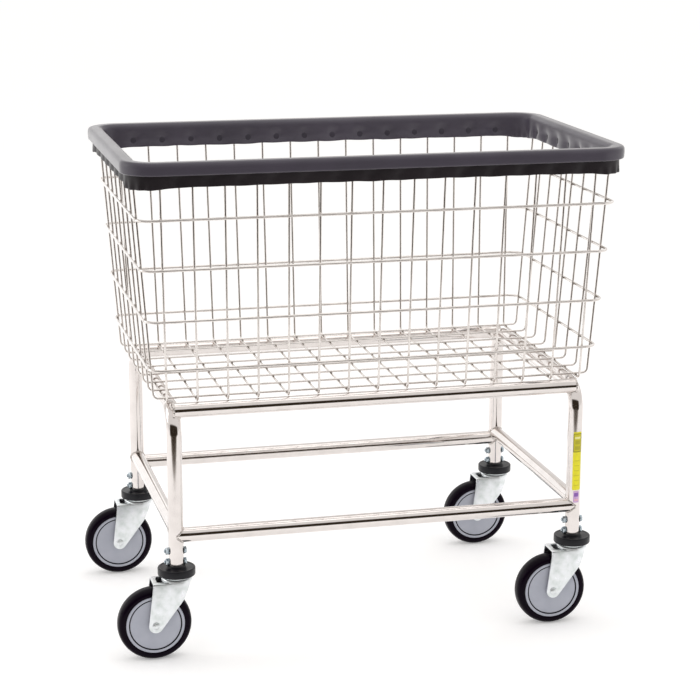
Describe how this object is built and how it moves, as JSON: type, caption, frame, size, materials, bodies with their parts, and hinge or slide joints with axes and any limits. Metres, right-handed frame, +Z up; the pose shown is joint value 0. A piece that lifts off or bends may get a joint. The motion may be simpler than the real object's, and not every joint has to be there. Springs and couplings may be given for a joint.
{
  "type": "wire laundry cart",
  "caption": "Tapered wire basket on a bent-tube base with swivel casters and a soft rim bumper, for moving laundry by hand.",
  "frame": {"origin": "on the floor, under the centre of the bounding box", "axes": "+X along the cart's length, away from the trailing wheels; +Y from the labelled front side to the rear side; +Z up"},
  "size_m": [0.8902, 0.5174, 0.8512],
  "materials": {
    "chrome": "bright plated",
    "charcoal_vinyl": "soft satin vinyl",
    "bright_zinc": "bright zinc plated",
    "black_rubber": "matte",
    "dark_tread": "satin",
    "grey_plastic": "satin moulded",
    "steel": "plain",
    "yellow_paper": "printed sticker"
  },
  "bodies": {
    "cart": {"cross_wire_01": "chrome", "cross_wire_02": "chrome", "cross_wire_03": "chrome", "cross_wire_04": "chrome", "cross_wire_05": "chrome", "cross_wire_06": "chrome", "cross_wire_07": "chrome", "cross_wire_08": "chrome", "cross_wire_09": "chrome", "cross_wire_10": "chrome", "cross_wire_11": "chrome", "cross_wire_12": "chrome", "cross_wire_13": "chrome", "cross_wire_14": "chrome", "cross_wire_15": "chrome", "long_wire_1": "chrome", "long_wire_2": "chrome", "long_wire_3": "chrome", "long_wire_4": "chrome", "long_wire_5": "chrome", "long_wire_6": "chrome", "long_wire_7": "chrome", "long_wire_8": "chrome", "hoop_wire_1": "chrome", "hoop_wire_2": "chrome", "hoop_wire_3": "chrome", "hoop_wire_4": "chrome", "rim_rod": "chrome", "rim_bumper": "charcoal_vinyl", "left_end_frame": "chrome", "right_end_frame": "chrome", "front_top_rail": "chrome", "rear_top_rail": "chrome", "front_lower_rail": "chrome", "rear_lower_rail": "chrome", "label": "yellow_paper", "front_left_stem": "steel", "front_left_bumper_disc": "black_rubber", "front_right_stem": "steel", "front_right_bumper_disc": "black_rubber", "rear_left_stem": "steel", "rear_left_bumper_disc": "black_rubber", "rear_right_stem": "steel", "rear_right_bumper_disc": "black_rubber"},
    "front_left_swivel": {"front_left_fork": "bright_zinc", "front_left_axle_bolt": "steel"},
    "front_left_wheel": {"front_left_wheel_core": "grey_plastic", "front_left_tyre": "dark_tread"},
    "front_right_swivel": {"front_right_fork": "bright_zinc", "front_right_axle_bolt": "steel"},
    "front_right_wheel": {"front_right_wheel_core": "grey_plastic", "front_right_tyre": "dark_tread"},
    "rear_left_swivel": {"rear_left_fork": "bright_zinc", "rear_left_axle_bolt": "steel"},
    "rear_left_wheel": {"rear_left_wheel_core": "grey_plastic", "rear_left_tyre": "dark_tread"},
    "rear_right_swivel": {"rear_right_fork": "bright_zinc", "rear_right_axle_bolt": "steel"},
    "rear_right_wheel": {"rear_right_wheel_core": "grey_plastic", "rear_right_tyre": "dark_tread"}
  },
  "joints": [
    {"name": "front_left_swivel", "type": "hinge", "parent": "cart", "child": "front_left_swivel", "pos_m": [-0.34208, -0.22115, 0.1403], "axis": [0, 0, 1], "continuous": true},
    {"name": "front_left_wheel_spin", "type": "hinge", "parent": "front_left_swivel", "child": "front_left_wheel", "pos_m": [-0.38157, -0.22115, 0.06315], "axis": [0, 1, 0], "continuous": true},
    {"name": "front_right_swivel", "type": "hinge", "parent": "cart", "child": "front_right_swivel", "pos_m": [0.36662, -0.22115, 0.1403], "axis": [0, 0, 1], "continuous": true},
    {"name": "front_right_wheel_spin", "type": "hinge", "parent": "front_right_swivel", "child": "front_right_wheel", "pos_m": [0.32712, -0.22115, 0.06315], "axis": [0, 1, 0], "continuous": true},
    {"name": "rear_left_swivel", "type": "hinge", "parent": "cart", "child": "rear_left_swivel", "pos_m": [-0.34208, 0.22115, 0.1403], "axis": [0, 0, 1], "continuous": true},
    {"name": "rear_left_wheel_spin", "type": "hinge", "parent": "rear_left_swivel", "child": "rear_left_wheel", "pos_m": [-0.38157, 0.22115, 0.06315], "axis": [0, 1, 0], "continuous": true},
    {"name": "rear_right_swivel", "type": "hinge", "parent": "cart", "child": "rear_right_swivel", "pos_m": [0.36662, 0.22115, 0.1403], "axis": [0, 0, 1], "continuous": true},
    {"name": "rear_right_wheel_spin", "type": "hinge", "parent": "rear_right_swivel", "child": "rear_right_wheel", "pos_m": [0.32712, 0.22115, 0.06315], "axis": [0, 1, 0], "continuous": true}
  ]
}
